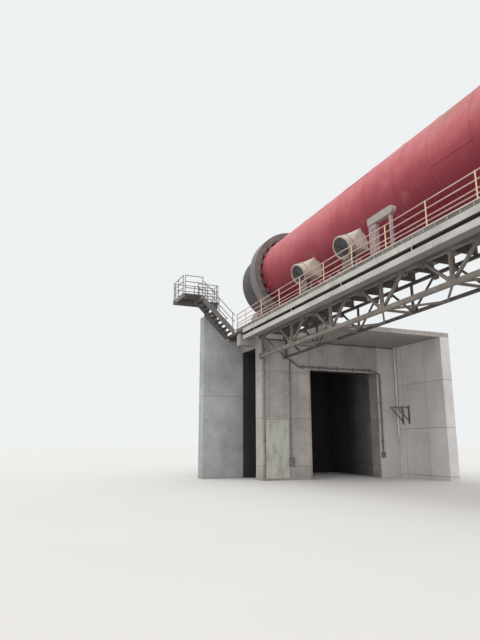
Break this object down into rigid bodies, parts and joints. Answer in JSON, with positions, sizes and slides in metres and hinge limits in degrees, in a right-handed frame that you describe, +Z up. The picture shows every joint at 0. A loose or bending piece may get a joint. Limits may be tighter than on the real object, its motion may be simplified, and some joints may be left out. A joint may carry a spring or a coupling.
{
  "type": "rotary kiln discharge end with piers and fan walkway",
  "caption": "Sloping steel kiln shell turning on tyres and rollers over two concrete piers, with a new shell section at its open end and a truss walkway with cooling fans.",
  "frame": {"origin": "on the ground under the kiln axis, at the centre of the foot of the second pier", "axes": "+X up the kiln towards its feed end, +Y away from the yard and the walkway, +Z up"},
  "size_m": [34.9385, 13.49, 15.2406],
  "materials": {
    "kiln_red": "dusty matt heat-resisting paint",
    "primed_steel": "dark shop primer outside, bare mill-scaled steel inside",
    "cast_steel": "machined and greased running faces, dusty sides",
    "bearing_green": "dusty paint",
    "concrete": "board-marked grey concrete with dust and run-off",
    "dusty_steel": "grey paint under cement dust",
    "deck_plate": "worn checker plate",
    "rail_cream": "faded pinkish cream paint",
    "fan_beige": "dusty beige paint",
    "cabinet_grey": "dusty pinkish grey paint"
  },
  "bodies": {
    "structure": {"bearings_1": "bearing_green", "bearings_2": "bearing_green", "base_frame_1": "bearing_green", "base_frame_2": "bearing_green", "front_wall_yard": "concrete", "front_wall_far": "concrete", "door_lintel": "concrete", "yard_wall": "concrete", "far_wall": "concrete", "rear_wall": "concrete", "roof_slab": "concrete", "front_canopy": "concrete", "wing_wall": "concrete", "column": "concrete", "lower_landing": "concrete", "stair": "dusty_steel", "stair_rails": "dusty_steel", "upper_landing": "dusty_steel", "landing_rails": "dusty_steel", "landing_frame": "dusty_steel", "edge_girder": "dusty_steel", "joists": "dusty_steel", "deck": "deck_plate", "kerb": "rail_cream", "handrail": "rail_cream", "outer_truss": "dusty_steel", "inner_truss": "dusty_steel", "truss_ties": "dusty_steel", "fan_casings": "fan_beige", "fan_nozzles": "fan_beige", "fan_stands": "dusty_steel", "cabinet": "cabinet_grey", "cabinet_canopy": "fan_beige", "pier_2": "concrete", "pier_2_corbel": "concrete"},
    "kiln": {"shell": "kiln_red", "new_section": "primed_steel", "tyre_1": "cast_steel", "tyre_2": "cast_steel", "tyre_pads_1": "cast_steel", "tyre_pads_2": "cast_steel"},
    "roller_1_yard": {"roller_1_yard": "cast_steel"},
    "roller_1_far": {"roller_1_far": "cast_steel"},
    "roller_2_yard": {"roller_2_yard": "cast_steel"},
    "roller_2_far": {"roller_2_far": "cast_steel"}
  },
  "joints": [
    {"name": "kiln_turn", "type": "hinge", "parent": "structure", "child": "kiln", "pos_m": [-23.7, 0, 12.06], "axis": [0.9998, 0, 0.02], "continuous": true},
    {"name": "roller_1_yard_turn", "type": "hinge", "parent": "structure", "child": "roller_1_yard", "pos_m": [-25.93806, -1.77515, 8.93997], "axis": [0.9998, 0, 0.02], "continuous": true},
    {"name": "roller_1_far_turn", "type": "hinge", "parent": "structure", "child": "roller_1_far", "pos_m": [-25.93806, 1.77515, 8.93997], "axis": [0.9998, 0, 0.02], "continuous": true},
    {"name": "roller_2_yard_turn", "type": "hinge", "parent": "structure", "child": "roller_2_yard", "pos_m": [0.05674, -1.77515, 9.45987], "axis": [0.9998, 0, 0.02], "continuous": true},
    {"name": "roller_2_far_turn", "type": "hinge", "parent": "structure", "child": "roller_2_far", "pos_m": [0.05674, 1.77515, 9.45987], "axis": [0.9998, 0, 0.02], "continuous": true}
  ],
  "couplings": [
    {"joint": "roller_1_yard_turn", "follows": "kiln_turn", "ratio": -3.1765},
    {"joint": "roller_1_far_turn", "follows": "kiln_turn", "ratio": -3.1765},
    {"joint": "roller_2_yard_turn", "follows": "kiln_turn", "ratio": -3.1765},
    {"joint": "roller_2_far_turn", "follows": "kiln_turn", "ratio": -3.1765}
  ]
}
